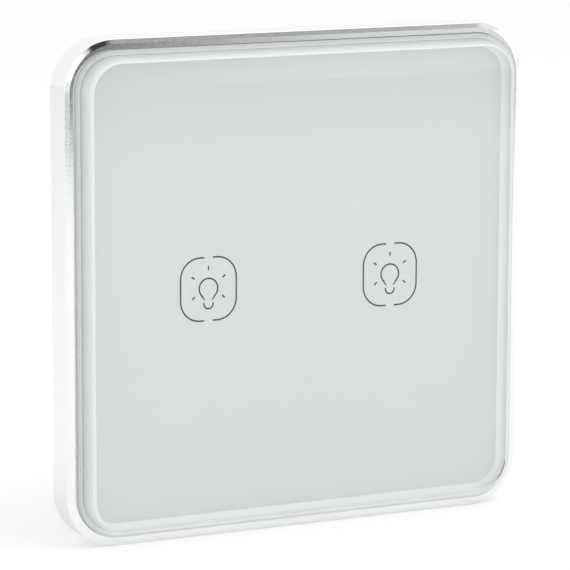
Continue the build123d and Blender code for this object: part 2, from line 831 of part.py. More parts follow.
def relay_yoke(x):
    """Bent iron strip under and beside the coil, with the common lead."""
    foot_z = relay_place_z + yoke_outer_z + yoke_foot_length / 2
    yoke = slab(x, foot_z, relay_base_back, yoke_foot_back, yoke_width, yoke_foot_length)
    yoke += slab(x, relay_place_z + pivot_z, relay_base_back, yoke_top, yoke_width, yoke_thickness)
    yoke -= rod(x, relay_place_z + core_place_z, relay_base_back - overrun, yoke_foot_back + overrun,
                core_rivet_radius)
    return yoke + rod(x, relay_place_z + pivot_z, power_board_front - lead_tail, yoke_foot_back, lead_radius)


def relay_core(x):
    """Iron core riveted to the yoke, with a pole face towards the armature."""
    z = relay_place_z + core_place_z
    core = rod(x, z, relay_base_back, yoke_foot_back, core_rivet_radius)
    core += rod(x, z, yoke_foot_back, pole_front, core_radius)
    return core + rod(x, z, pole_front, pole_back, core_pole_radius)


def relay_bobbin(x):
    """Coil former with two flanges and the coil's leads."""
    z = relay_place_z + core_place_z
    tube_radius = core_radius + bobbin_clearance + bobbin_tube_wall
    bobbin = rod(x, z, coil_front, coil_back, tube_radius)
    bobbin += slab(x, z, coil_front, coil_front + bobbin_flange_thickness, bobbin_flange, bobbin_flange)
    bobbin += slab(x, z, coil_back - bobbin_flange_thickness, coil_back, bobbin_flange, bobbin_flange)
    bobbin -= rod(x, z, coil_front - overrun, coil_back + overrun, core_radius + bobbin_clearance)
    lead_back = coil_front + bobbin_flange_thickness
    for lead_x, lead_z in relay_lead_places(x)[:2]:
        bobbin += rod(lead_x, lead_z, power_board_front - lead_tail, lead_back, lead_radius)
    return bobbin


def relay_winding(x):
    z = relay_place_z + core_place_z
    front = coil_front + bobbin_flange_thickness
    back = coil_back - bobbin_flange_thickness
    tube_radius = core_radius + bobbin_clearance + bobbin_tube_wall
    return rod(x, z, front, back, winding_radius) - rod(x, z, front - overrun, back + overrun, tube_radius)


def relay_armature(x):
    """Iron plate that rocks on the yoke's edge towards the pole."""
    low = relay_place_z + pivot_z - armature_heel
    high = relay_place_z + core_place_z + armature_front
    return slab(x, (low + high) / 2, armature_front_face, armature_back_face, armature_width, high - low)


def relay_leaf(x):
    """Copper leaf on the armature with the moving contact at its end."""
    high = relay_place_z + relay_inside_length / 2 - leaf_end
    low = relay_place_z + core_place_z + armature_front - leaf_overlap
    leaf_back = armature_back_face + leaf_thickness
    leaf = slab(x, (low + high) / 2, armature_back_face, leaf_back, leaf_width, high - low)
    return leaf + rod(x, relay_place_z + button_z, armature_back_face - contact_button_height,
                      armature_back_face, contact_button_radius)


def relay_fixed_contact(x):
    """Bent copper strip with the fixed contact and its lead."""
    strip_z = relay_place_z + fixed_strip_z()
    shelf_back = fixed_button_back - contact_button_height
    shelf_front = shelf_back - fixed_strip_thickness
    strip_middle = strip_z + fixed_strip_thickness / 2
    strip = slab(x, strip_middle, relay_base_back, shelf_back, leaf_width, fixed_strip_thickness)
    shelf_low = relay_place_z + button_z - contact_button_radius - contact_button_margin
    shelf_high = strip_z + fixed_strip_thickness
    strip += slab(x, (shelf_low + shelf_high) / 2, shelf_front, shelf_back, leaf_width,
                  shelf_high - shelf_low)
    strip += rod(x, relay_place_z + button_z, shelf_back, fixed_button_back, contact_button_radius)
    lead_back = relay_base_back + fixed_strip_thickness
    return strip + rod(x, strip_middle, power_board_front - lead_tail, lead_back, lead_radius)


def soft_edged_block(x, z, width, length, height):
    """Moulded block on the power board with its far edges rounded."""
    block = slab(x, z, part_seat, part_seat + height, width, length)
    far_edges = block.faces().sort_by(Axis.Y)[-1].edges()
    return fillet(far_edges, part_edge_radius)


def fuse():
    body = soft_edged_block(fuse_x, middle_row_z, fuse_width, fuse_length, fuse_height)
    return body + leads(fuse_leads, part_seat + lead_tail)


def varistor():
    """Round disc standing on its two leads."""
    middle_y = part_seat + varistor_lift + varistor_radius
    disc = Rot(0, 90, 0) * Cylinder(varistor_radius, varistor_thickness)
    disc = Pos(varistor_x, middle_y, middle_row_z) * disc
    disc = fillet(disc.edges().filter_by(GeomType.CIRCLE), varistor_thickness / 3)
    return disc + leads(varistor_leads, middle_y)


def film_capacitor():
    body = soft_edged_block(film_capacitor_x, middle_row_z, film_capacitor_width, film_capacitor_length,
                            film_capacitor_height)
    return body + leads(film_capacitor_leads, part_seat + lead_tail)


def smoothing_capacitor():
    """Sleeved can with a rolled groove near its foot."""
    back = part_seat + smoothing_capacitor_height
    can = rod(smoothing_capacitor_x, middle_row_z, part_seat, back, smoothing_capacitor_radius)
    can = fillet(can.edges().filter_by(GeomType.CIRCLE), smoothing_capacitor_groove)
    groove_y = part_seat + smoothing_capacitor_groove_place
    groove = Pos(smoothing_capacitor_x, groove_y, middle_row_z) * Rot(90, 0, 0) * Torus(
        smoothing_capacitor_radius + smoothing_capacitor_groove / 2, smoothing_capacitor_groove
    )
    return can - groove + leads(smoothing_capacitor_leads, part_seat + lead_tail)


def transformer_bobbin():
    """Coil former of the supply transformer with its wound and taped coil."""
    base_back = part_seat + transformer_base_height
    bobbin = slab(transformer_x, transformer_z, part_seat, base_back, transformer_width, transformer_length)
    width = transformer_width - 2 * (transformer_core_leg + transformer_winding_gap)
    length = transformer_length - 2 * transformer_core_leg
    core_back = base_back + transformer_core_height
    coil_first = base_back + transformer_core_leg + transformer_winding_gap
    coil_last = core_back - transformer_core_leg - transformer_winding_gap
    bobbin += slab(transformer_x, transformer_z, coil_first, coil_last, width, length)
    foot_length = transformer_core_leg
    for end in (-1, 1):
        place = transformer_z + end * (length - foot_length) / 2
        bobbin += slab(transformer_x, place, base_back, coil_last, width, foot_length)
    inner = transformer_core_depth + 2 * transformer_winding_gap
    leg = transformer_core_leg + 2 * transformer_winding_gap
    bobbin -= slab(transformer_x, transformer_z, coil_first - overrun, coil_last + overrun, leg, inner)
    return bobbin + leads(transformer_leads, base_back)


def transformer_core():
    """Ferrite frame round the coil, with a middle leg through it."""
    front = part_seat + transformer_base_height
    back = front + transformer_core_height
    frame = slab(transformer_x, transformer_z, front, back, transformer_width, transformer_core_depth)
    opening = transformer_width - 2 * transformer_core_leg
    frame -= slab(transformer_x, transformer_z, front + transformer_core_leg, back - transformer_core_leg,
                  opening, transformer_core_depth + 2 * overrun)
    return frame + slab(transformer_x, transformer_z, front, back, transformer_core_leg,
                        transformer_core_depth)


def rectifier():
    body = soft_edged_block(rectifier_x, rectifier_z, rectifier_width, rectifier_length, rectifier_height)
    return body + leads(rectifier_leads, part_seat + lead_tail)


def all_parts():
    """Every piece by its file name."""
    parts = {
        "glass_panel": glass_panel(),
        "key_symbols": key_symbols(),
        "back_print": back_print(),
        "bonding_tape": bonding_tape(),
        "bezel_frame": bezel_frame(),
        "panel_carrier": panel_carrier(),
        "panel_clips": panel_clips(),
        "mounting_frame": mounting_frame(),
        "rear_housing": rear_housing(),
        "front_cover": front_cover(),
        "cover_screws": cover_screws(),
        "touch_board": touch_board(),
        "board_screws": board_screws(),
        "touch_controller": touch_controller(),
        "link_header": link_header(),
        "link_socket": link_socket(),
        "power_board": power_board(),
        "terminal_block": terminal_block(),
        "fuse": fuse(),
        "varistor": varistor(),
        "film_capacitor": film_capacitor(),
        "smoothing_capacitor": smoothing_capacitor(),
        "transformer_bobbin": transformer_bobbin(),
        "transformer_core": transformer_core(),
        "rectifier": rectifier(),
    }
    for side, x in key_places.items():
        parts[f"touch_spring_{side}"] = touch_spring(x)
        parts[f"key_lamp_{side}"] = key_lamp(x)
    for number, x in enumerate(terminal_places, start=1):
        parts[f"terminal_screw_{number}"] = terminal_screw(x)
        parts[f"terminal_cage_{number}"] = terminal_cage(x)
        parts[f"terminal_contact_{number}"] = terminal_contact(x)
    makers = {
        "base": relay_base,
        "case": relay_case,
        "yoke": relay_yoke,
        "core": relay_core,
        "bobbin": relay_bobbin,
        "winding": relay_winding,
        "armature": relay_armature,
        "leaf": relay_leaf,
        "fixed_contact": relay_fixed_contact,
    }
    for number, x in enumerate(relay_places, start=1):
        for name, maker in makers.items():
            parts[f"relay_{name}_{number}"] = maker(x)
    return parts


def as_shape(part):
    """One shape to write, from a piece or from a group of like pieces."""
    if isinstance(part, list):
        return Compound(children=[solid for piece in part for solid in piece.solids()])
    return part


print(f"least gap in a touch spring {spring_least_gap():.2f} mm")
os.makedirs("parts", exist_ok=True)
for part_name, part in all_parts().items():
    export_step(as_shape(part), f"parts/{part_name}.step")
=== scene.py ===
import math
import bmesh
import bpy
from mathutils import Matrix, Vector


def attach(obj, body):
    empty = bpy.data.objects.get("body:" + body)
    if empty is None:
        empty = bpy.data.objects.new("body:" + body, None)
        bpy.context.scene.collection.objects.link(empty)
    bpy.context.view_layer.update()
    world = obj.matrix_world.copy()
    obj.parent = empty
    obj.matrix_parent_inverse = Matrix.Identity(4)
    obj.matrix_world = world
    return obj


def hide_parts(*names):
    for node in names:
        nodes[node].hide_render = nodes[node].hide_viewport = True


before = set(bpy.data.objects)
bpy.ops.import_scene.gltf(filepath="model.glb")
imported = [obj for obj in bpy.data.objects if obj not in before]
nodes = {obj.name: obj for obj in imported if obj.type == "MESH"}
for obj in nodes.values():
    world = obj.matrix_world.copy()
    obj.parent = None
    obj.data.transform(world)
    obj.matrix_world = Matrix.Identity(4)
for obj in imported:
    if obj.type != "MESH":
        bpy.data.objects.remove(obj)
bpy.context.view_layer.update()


# Rear housing and mounting frame: a deep box behind a flat frame that screws to the wall box, both
# moulded from white fire-retardant plastic. The mould leaves a fine spark texture.

def finished(name, mat):
    """Gives a piece of the frame its material in each of its slots."""
    piece = nodes[name]
    if not piece.material_slots:
        piece.data.materials.append(mat)
    for place in piece.material_slots:
        place.material = mat


def add_node(tree, kind, **values):
    """A shader node with plain values on its named inputs or its own properties."""
    node = tree.nodes.new(kind)
    for name, value in values.items():
        title = name.replace("_", " ")
        if title in node.inputs:
            node.inputs[title].default_value = value
        else:
            setattr(node, name, value)
    return node


def new_material(name):
    """An empty material with its node tree and its main shader."""
    mat = bpy.data.materials.new(name)
    mat.use_nodes = True
    return mat, mat.node_tree, mat.node_tree.nodes["Principled BSDF"]


def new_group(name, inputs, outputs):
    """An empty shader node group with named sockets, and its own input and output nodes."""
    group = bpy.data.node_groups.new(name, "ShaderNodeTree")
    for title, kind, value in inputs:
        socket = group.interface.new_socket(title, in_out="INPUT", socket_type=kind)
        socket.default_value = value
    for title, kind in outputs:
        group.interface.new_socket(title, in_out="OUTPUT", socket_type=kind)
    return group, group.nodes.new("NodeGroupInput"), group.nodes.new("NodeGroupOutput")


surface_outputs = [("Color", "NodeSocketColor"), ("Roughness", "NodeSocketFloat"),
                   ("Height", "NodeSocketFloat")]


def moulded_grain_group():
    """Spark texture of a mould: a fine height, with colour and gloss that drift slowly."""
    group, given, made = new_group(
        "moulded_grain",
        [("Color", "NodeSocketColor", (0.8, 0.8, 0.8, 1)),
         ("Grain Scale", "NodeSocketFloat", 3500.0),
         ("Drift", "NodeSocketFloat", 0.03),
         ("Roughness", "NodeSocketFloat", 0.45)],
        surface_outputs,
    )
    link = group.links.new
    place = add_node(group, "ShaderNodeTexCoord").outputs["Object"]
    grain = add_node(group, "ShaderNodeTexNoise", Detail=3.0, Roughness=0.6)
    cloud = add_node(group, "ShaderNodeTexNoise", Scale=70.0, Detail=2.0)
    link(place, grain.inputs["Vector"])
    link(given.outputs["Grain Scale"], grain.inputs["Scale"])
    link(place, cloud.inputs["Vector"])
    noise_middle = 0.5
    centred = add_node(group, "ShaderNodeMath", operation="SUBTRACT")
    centred.inputs[1].default_value = noise_middle
    link(cloud.outputs["Fac"], centred.inputs[0])
    drift = add_node(group, "ShaderNodeMath", operation="MULTIPLY_ADD")
    link(centred.outputs[0], drift.inputs[0])
    link(given.outputs["Drift"], drift.inputs[1])
    drift.inputs[2].default_value = 1.0
    tone = add_node(group, "ShaderNodeVectorMath", operation="SCALE")
    link(given.outputs["Color"], tone.inputs[0])
    link(drift.outputs[0], tone.inputs["Scale"])
    gloss_spread = 0.12
    gloss = add_node(group, "ShaderNodeMath", operation="MULTIPLY_ADD")
    link(grain.outputs["Fac"], gloss.inputs[0])
    gloss.inputs[1].default_value = gloss_spread
    link(given.outputs["Roughness"], gloss.inputs[2])
    link(tone.outputs[0], made.inputs["Color"])
    link(gloss.outputs[0], made.inputs["Roughness"])
    link(grain.outputs["Fac"], made.inputs["Height"])
    return group


moulded_grain = moulded_grain_group()


def plastic(name, colour, roughness=0.45, grain_scale=3500.0, grain_depth=0.00002, drift=0.04,
            specular=0.5):
    """Moulded plastic with the grain of its mould."""
    mat, tree, shader = new_material(name)
    shader.inputs["Specular IOR Level"].default_value = specular
    grain = add_node(tree, "ShaderNodeGroup", node_tree=moulded_grain)
    grain.inputs["Color"].default_value = (*colour, 1)
    grain.inputs["Grain Scale"].default_value = grain_scale
    grain.inputs["Drift"].default_value = drift
    grain.inputs["Roughness"].default_value = roughness
    bump = add_node(tree, "ShaderNodeBump", Strength=0.6, Distance=grain_depth)
    link = tree.links.new
    link(grain.outputs["Color"], shader.inputs["Base Color"])
    link(grain.outputs["Roughness"], shader.inputs["Roughness"])
    link(grain.outputs["Height"], bump.inputs["Height"])
    link(bump.outputs["Normal"], shader.inputs["Normal"])
    return mat


def take_place(piece, node_name, body):
    """The piece stands for the frame's node and rides on its body."""
    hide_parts(node_name)
    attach(piece, body)


def eased_copy(node_name, piece_name, body, width, mat):
    """The frame's own shape with its hard edges eased, as a mould leaves them."""
    weld, flat, crease = 0.000002, math.radians(1), math.radians(35)
    mesh = nodes[node_name].data.copy()
    mesh.name = piece_name
    piece = bpy.data.objects.new(piece_name, mesh)
    bpy.context.scene.collection.objects.link(piece)
    work = bmesh.new()
    work.from_mesh(mesh)
    bmesh.ops.remove_doubles(work, verts=work.verts, dist=weld)
    bmesh.ops.dissolve_limit(work, angle_limit=flat, verts=work.verts, edges=work.edges)
    work.to_mesh(mesh)
    work.free()
    mesh.materials.clear()
    mesh.materials.append(mat)
    mesh.shade_smooth()
    ease = piece.modifiers.new("eased edges", "BEVEL")
    ease.width = width
    ease.segments = 2
    ease.limit_method = "ANGLE"
    ease.angle_limit = crease
    ease.use_clamp_overlap = True
    ease.miter_outer = "MITER_ARC"
    even = piece.modifiers.new("even shading", "WEIGHTED_NORMAL")
    even.weight = 100
    graph = bpy.context.evaluated_depsgraph_get()
    baked = bpy.data.meshes.new_from_object(piece.evaluated_get(graph))
    piece.modifiers.clear()
    piece.data = baked
    take_place(piece, node_name, body)


housing_plastic = plastic("housing_plastic", (0.74, 0.74, 0.715), roughness=0.42,
                          grain_scale=2600.0, grain_depth=0.00003)
mould_ease = 0.00025
eased_copy("rear_housing", "rear_housing_shell", "base_unit", mould_ease, housing_plastic)
eased_copy("mounting_frame", "mounting_frame_plate", "base_unit", mould_ease, housing_plastic)


# Power board: glass-fibre laminate under a green solder mask, drilled for the leads.
# Copper tracks show through the mask as paler paths, and the drilled edges are raw laminate.

def board_mask(name, patch_scale):
    """Solder mask over copper tracks: patches of parallel paler paths with a slight height."""
    bare_mask, over_copper = (0.012, 0.11, 0.045, 1), (0.026, 0.17, 0.07, 1)
    line_scale = 250.0
    mat, tree, shader = new_material(name)
    link = tree.links.new
    shader.inputs["Coat Weight"].default_value = 0.4
    shader.inputs["Coat Roughness"].default_value = 0.2
    place = add_node(tree, "ShaderNodeTexCoord").outputs["Object"]
    patch = add_node(tree, "ShaderNodeTexVoronoi", Scale=patch_scale, Randomness=0.75,
                     distance="CHEBYCHEV")
    flat = add_node(tree, "ShaderNodeVectorMath", operation="MULTIPLY")
    flat.inputs[1].default_value = (1, 0, 1)
    link(place, flat.inputs[0])
    link(flat.outputs[0], patch.inputs["Vector"])
    lot = add_node(tree, "ShaderNodeSeparateColor")
    link(patch.outputs["Color"], lot.inputs[0])
    across = add_node(tree, "ShaderNodeTexWave", Scale=line_scale, bands_direction="X")
    along = add_node(tree, "ShaderNodeTexWave", Scale=line_scale, bands_direction="Z")
    link(flat.outputs[0], across.inputs["Vector"])
    link(flat.outputs[0], along.inputs["Vector"])
    turned = add_node(tree, "ShaderNodeMath", operation="GREATER_THAN")
    turned.inputs[1].default_value = 0.5
    link(lot.outputs["Red"], turned.inputs[0])
    lines = add_node(tree, "ShaderNodeMix", data_type="FLOAT")
    link(turned.outputs[0], lines.inputs[0])
    link(across.outputs["Fac"], lines.inputs[2])
    link(along.outputs["Fac"], lines.inputs[3])
    routed = add_node(tree, "ShaderNodeMapRange", From_Min=0.35, From_Max=0.36, To_Min=0.55,
                      To_Max=1.0)
    link(lot.outputs["Green"], routed.inputs["Value"])
    strength = add_node(tree, "ShaderNodeMath", operation="MULTIPLY")
    link(lines.outputs[0], strength.inputs[0])
    link(routed.outputs[0], strength.inputs[1])
    tracks = add_node(tree, "ShaderNodeMapRange", From_Min=0.78, From_Max=0.84)
    link(strength.outputs[0], tracks.inputs["Value"])
    tone = add_node(tree, "ShaderNodeMix", data_type="RGBA")
    tone.inputs[6].default_value = bare_mask
    tone.inputs[7].default_value = over_copper
    link(tracks.outputs[0], tone.inputs[0])
    cloud = add_node(tree, "ShaderNodeTexNoise", Scale=900.0, Detail=4.0)
    link(place, cloud.inputs["Vector"])
    gloss = add_node(tree, "ShaderNodeMapRange", To_Min=0.28, To_Max=0.5)
    link(cloud.outputs["Fac"], gloss.inputs["Value"])
    bump = add_node(tree, "ShaderNodeBump", Strength=0.5, Distance=0.00004)
    link(tracks.outputs[0], bump.inputs["Height"])
    link(tone.outputs[2], shader.inputs["Base Color"])
    link(gloss.outputs[0], shader.inputs["Roughness"])
    link(bump.outputs["Normal"], shader.inputs["Normal"])
    return mat


finished("power_board", board_mask("power_board_mask", 120.0))


# Terminal block: blue polyamide moulding with a cell for each clamp. The clamps are folded
# steel cages on plated screws, and each wire bears on a tinned brass bar soldered to the board.

def metal_surface_group():
    """Plated or rolled metal: fine directional scratches, slow tarnish and a speckled gloss."""
    group, given, made = new_group(
        "metal_surface",
        [("Color", "NodeSocketColor", (0.7, 0.7, 0.7, 1)),
         ("Grain Scale", "NodeSocketFloat", 4000.0),
         ("Stretch", "NodeSocketFloat", 1.0),
         ("Roughness", "NodeSocketFloat", 0.3),
         ("Spread", "NodeSocketFloat", 0.15),
         ("Tarnish", "NodeSocketFloat", 0.12)],
        surface_outputs,
    )
    link = group.links.new
    place = add_node(group, "ShaderNodeTexCoord").outputs["Object"]
    axes = add_node(group, "ShaderNodeCombineXYZ", X=1.0, Y=1.0)
    link(given.outputs["Stretch"], axes.inputs["Z"])
    pulled = add_node(group, "ShaderNodeVectorMath", operation="MULTIPLY")
    link(place, pulled.inputs[0])
    link(axes.outputs[0], pulled.inputs[1])
    grain = add_node(group, "ShaderNodeTexNoise", Detail=2.0, Roughness=0.55)
    link(pulled.outputs[0], grain.inputs["Vector"])
    link(given.outputs["Grain Scale"], grain.inputs["Scale"])
    cloud = add_node(group, "ShaderNodeTexNoise", Scale=260.0, Detail=3.0)
    link(place, cloud.inputs["Vector"])
    dull = add_node(group, "ShaderNodeMath", operation="MULTIPLY")
    link(cloud.outputs["Fac"], dull.inputs[0])
    link(given.outputs["Tarnish"], dull.inputs[1])
    left = add_node(group, "ShaderNodeMath", operation="SUBTRACT")
    left.inputs[0].default_value = 1.0
    link(dull.outputs[0], left.inputs[1])
    tone = add_node(group, "ShaderNodeVectorMath", operation="SCALE")
    link(given.outputs["Color"], tone.inputs[0])
    link(left.outputs[0], tone.inputs["Scale"])
    gloss = add_node(group, "ShaderNodeMath", operation="MULTIPLY_ADD")
    link(grain.outputs["Fac"], gloss.inputs[0])
    link(given.outputs["Spread"], gloss.inputs[1])
    link(given.outputs["Roughness"], gloss.inputs[2])
    link(tone.outputs[0], made.inputs["Color"])
    link(gloss.outputs[0], made.inputs["Roughness"])
    link(grain.outputs["Fac"], made.inputs["Height"])
    return group


metal_surface = metal_surface_group()


def metal(name, colour, roughness=0.25, grain_scale=4000.0, stretch=1.0, spread=0.15, tarnish=0.12):
    """Bare or plated metal with the marks of how it was worked."""
    scratch_depth = 0.000004
    mat, tree, shader = new_material(name)
    link = tree.links.new
    shader.inputs["Metallic"].default_value = 1.0
    surface = add_node(tree, "ShaderNodeGroup", node_tree=metal_surface)
    values = {"Color": (*colour, 1), "Grain Scale": grain_scale, "Stretch": stretch,
              "Roughness": roughness, "Spread": spread, "Tarnish": tarnish}
    for title, value in values.items():
        surface.inputs[title].default_value = value
    bump = add_node(tree, "ShaderNodeBump", Strength=0.5, Distance=scratch_depth)
    link(surface.outputs["Color"], shader.inputs["Base Color"])
    link(surface.outputs["Roughness"], shader.inputs["Roughness"])
    link(surface.outputs["Height"], bump.inputs["Height"])
    link(bump.outputs["Normal"], shader.inputs["Normal"])
    return mat


zinc = metal("bright_zinc", (0.72, 0.73, 0.74), roughness=0.2)
yellow_zinc = metal("yellow_zinc", (0.72, 0.64, 0.45), roughness=0.24, tarnish=0.25)
tinned_brass = metal("tinned_brass", (0.78, 0.68, 0.46), roughness=0.22, grain_scale=2600.0,
                     stretch=0.15)
terminal_blue = plastic("terminal_polyamide", (0.045, 0.13, 0.30), roughness=0.4,
                        grain_scale=3000.0)
eased_copy("terminal_block", "terminal_block_moulding", "base_unit", 0.0002, terminal_blue)
for number in range(1, 5):
    finished(f"terminal_screw_{number}", zinc)
    finished(f"terminal_cage_{number}", yellow_zinc)
    finished(f"terminal_contact_{number}", tinned_brass)


# Relays, one for each key: a black case over a moulded base, a coil of enamelled wire on its
# bobbin, nickel-plated iron, and copper-alloy leaves that carry silver contacts.

def wound_wire(name, colour, wire_pitch, axis):
    """Enamelled wire laid turn beside turn along the winding's axis."""
    wave_scale = math.pi / wire_pitch / 10
    # The wire is painted darker between the turns, as shade in the grooves between them.
    shade_between_turns = (*[0.35 * part for part in colour], 1)
    mat, tree, shader = new_material(name)
    link = tree.links.new
    shader.inputs["Metallic"].default_value = 0.7
    shader.inputs["Coat Weight"].default_value = 0.6
    shader.inputs["Coat Roughness"].default_value = 0.15
    place = add_node(tree, "ShaderNodeTexCoord").outputs["Object"]
    turns = add_node(tree, "ShaderNodeTexWave", Scale=wave_scale, Distortion=0.6, Detail=1.0)
    turns.bands_direction = axis
    link(place, turns.inputs["Vector"])
    tone = add_node(tree, "ShaderNodeMix", data_type="RGBA")
    tone.inputs[6].default_value = shade_between_turns
    tone.inputs[7].default_value = (*colour, 1)
    link(turns.outputs["Fac"], tone.inputs[0])
    gloss = add_node(tree, "ShaderNodeMapRange", To_Min=0.45, To_Max=0.22)
    link(turns.outputs["Fac"], gloss.inputs["Value"])
    bump = add_node(tree, "ShaderNodeBump", Strength=0.8, Distance=0.00005)
    link(turns.outputs["Fac"], bump.inputs["Height"])
    link(tone.outputs[2], shader.inputs["Base Color"])
    link(gloss.outputs[0], shader.inputs["Roughness"])
    link(bump.outputs["Normal"], shader.inputs["Normal"])
    return mat


relay_black = plastic("relay_moulding", (0.022, 0.023, 0.025), roughness=0.3, grain_scale=4200.0,
                      grain_depth=0.00001)
base_black = plastic("relay_base_moulding", (0.03, 0.03, 0.032), roughness=0.5)
nickel_iron = metal("nickel_iron", (0.60, 0.58, 0.54), roughness=0.28, tarnish=0.2)
leaf_copper = metal("leaf_copper", (0.80, 0.47, 0.28), roughness=0.22, grain_scale=2200.0,
                    stretch=0.1)
coil_wire = wound_wire("coil_wire", (0.74, 0.34, 0.15), 0.00012, "Y")
case_ease = 0.0003
for number in (1, 2):
    eased_copy(f"relay_case_{number}", f"relay_case_shell_{number}", "base_unit", case_ease,
               relay_black)
    for part, mat in (("base", base_black), ("bobbin", base_black), ("winding", coil_wire),
                      ("core", nickel_iron), ("yoke", nickel_iron), ("armature", nickel_iron),
                      ("leaf", leaf_copper), ("fixed_contact", leaf_copper)):
        finished(f"relay_{part}_{number}", mat)


# Mains supply: a small ferrite transformer with a taped coil, a sleeved can, a yellow film
# capacitor, a blue disc, a fuse and a rectifier, all stood on the board by their leads.

def taped_coil():
    """Yellow polyester tape wound over the coil, with a darker line at each lap."""
    mat, tree, shader = new_material("coil_tape")
    link = tree.links.new
    shader.inputs["Coat Weight"].default_value = 0.5
    shader.inputs["Coat Roughness"].default_value = 0.1
    place = add_node(tree, "ShaderNodeTexCoord").outputs["Object"]
    laps = add_node(tree, "ShaderNodeTexWave", Scale=55.0, Distortion=0.4, wave_profile="SAW")
    laps.bands_direction = "Y"
    link(place, laps.inputs["Vector"])
    tone = add_node(tree, "ShaderNodeMix", data_type="RGBA")
    tone.inputs[6].default_value = (0.42, 0.27, 0.02, 1)
    tone.inputs[7].default_value = (0.72, 0.50, 0.05, 1)
    link(laps.outputs["Fac"], tone.inputs[0])
    bump = add_node(tree, "ShaderNodeBump", Strength=0.6, Distance=0.00005)
    link(laps.outputs["Fac"], bump.inputs["Height"])
    gloss = add_node(tree, "ShaderNodeMapRange", To_Min=0.4, To_Max=0.25)
    link(laps.outputs["Fac"], gloss.inputs["Value"])
    link(tone.outputs[2], shader.inputs["Base Color"])
    link(gloss.outputs[0], shader.inputs["Roughness"])
    link(bump.outputs["Normal"], shader.inputs["Normal"])
    return mat


finished("transformer_bobbin", taped_coil())
finished("transformer_core", plastic("ferrite", (0.035, 0.035, 0.037), roughness=0.55,
                                     grain_scale=5200.0, grain_depth=0.00004, drift=0.2))
finished("smoothing_capacitor", plastic("can_sleeve", (0.014, 0.022, 0.07), roughness=0.22,
                                        grain_depth=0.000008))
capacitor_yellow = plastic("film_capacitor_box", (0.66, 0.48, 0.05), roughness=0.35)
eased_copy("film_capacitor", "film_capacitor_box", "base_unit", case_ease, capacitor_yellow)
finished("varistor", plastic("disc_epoxy", (0.02, 0.08, 0.32), roughness=0.25, grain_scale=900.0))
fuse_black = plastic("fuse_moulding", (0.025, 0.025, 0.025), roughness=0.35)
eased_copy("fuse", "fuse_box", "base_unit", case_ease, fuse_black)
chip_epoxy = plastic("chip_epoxy", (0.02, 0.02, 0.021), roughness=0.5, grain_scale=6000.0)
finished("rectifier", chip_epoxy)


# Insulating cover between the boards, moulded in black plastic on four legs. Four long screws
# go through its legs into the housing's posts and hold the power board down.

cover_black = plastic("cover_plastic", (0.028, 0.028, 0.03), roughness=0.5, grain_scale=2400.0,
                      grain_depth=0.00003)
eased_copy("front_cover", "front_cover_moulding", "base_unit", 0.0002, cover_black)
for name in ("link_header", "link_socket"):
    finished(name, plastic(name + "_moulding", (0.018, 0.018, 0.02), roughness=0.42))


def turned_screw(radius, length, head_radius, head_height, slot_width, slot_depth):
    """Mesh of a pan-head cross-recess screw, its head's seat at the origin, driven along +Y."""
    work = bmesh.new()
    crown = head_height * 0.35
    rim_break, neck_fillet, point_radius = 0.00008, 0.00006, radius * 0.35
    outline = [(0, -head_height)]
    steps = 8
    for step in range(steps + 1):
        angle = math.radians(90 * step / steps)
        outline.append((head_radius - crown + crown * math.sin(angle),
                        -head_height + crown - crown * math.cos(angle)))
    outline += [(head_radius, -rim_break), (head_radius - rim_break, 0)]
    outline += [(radius + neck_fillet, 0), (radius, neck_fillet)]
    outline += [(radius, length - radius), (point_radius, length), (0, length)]
    rim = [work.verts.new((r, y, 0)) for r, y in outline]
    edges = [work.edges.new(pair) for pair in zip(rim, rim[1:])]
    bmesh.ops.spin(work, geom=rim + edges, cent=(0, 0, 0), axis=(0, 1, 0), angle=math.tau,
                   steps=40, use_duplicate=False)
    bmesh.ops.remove_doubles(work, verts=work.verts, dist=0.000001)
    bmesh.ops.recalc_face_normals(work, faces=work.faces)
    mesh = bpy.data.meshes.new("turned_screw")
    work.to_mesh(mesh)
    work.free()
    body = bpy.data.objects.new("turned_screw", mesh)
    bpy.context.scene.collection.objects.link(body)
    cross = bpy.data.meshes.new("cross_recess")
    cutter = bmesh.new()
    reach = head_radius * 0.62
    length_taper, width_taper, clear_above = 0.55, 0.8, 0.001
    for long_x in (True, False):
        half_x, half_z = (reach, slot_width / 2) if long_x else (slot_width / 2, reach)
        corners = [(-1, -1), (1, -1), (1, 1), (-1, 1)]
        top = [cutter.verts.new((sx * half_x, -head_height - clear_above, sz * half_z))
               for sx, sz in corners]
        low = [cutter.verts.new((sx * half_x * length_taper, -head_height + slot_depth,
                                 sz * half_z * width_taper)) for sx, sz in corners]
        cutter.faces.new(top)
        cutter.faces.new(low)
        for k in range(4):
            cutter.faces.new((top[k], top[(k + 1) % 4], low[(k + 1) % 4], low[k]))
    bmesh.ops.recalc_face_normals(cutter, faces=cutter.faces)
    cutter.to_mesh(cross)
    cutter.free()
    tool = bpy.data.objects.new("cross_recess", cross)
    bpy.context.scene.collection.objects.link(tool)
    cut = body.modifiers.new("recess", "BOOLEAN")
    cut.object = tool
    cut.solver = "EXACT"
    cut.use_self = True
    graph = bpy.context.evaluated_depsgraph_get()
    made = bpy.data.meshes.new_from_object(body.evaluated_get(graph))
    bpy.data.objects.remove(body)
    bpy.data.objects.remove(tool)
    return made


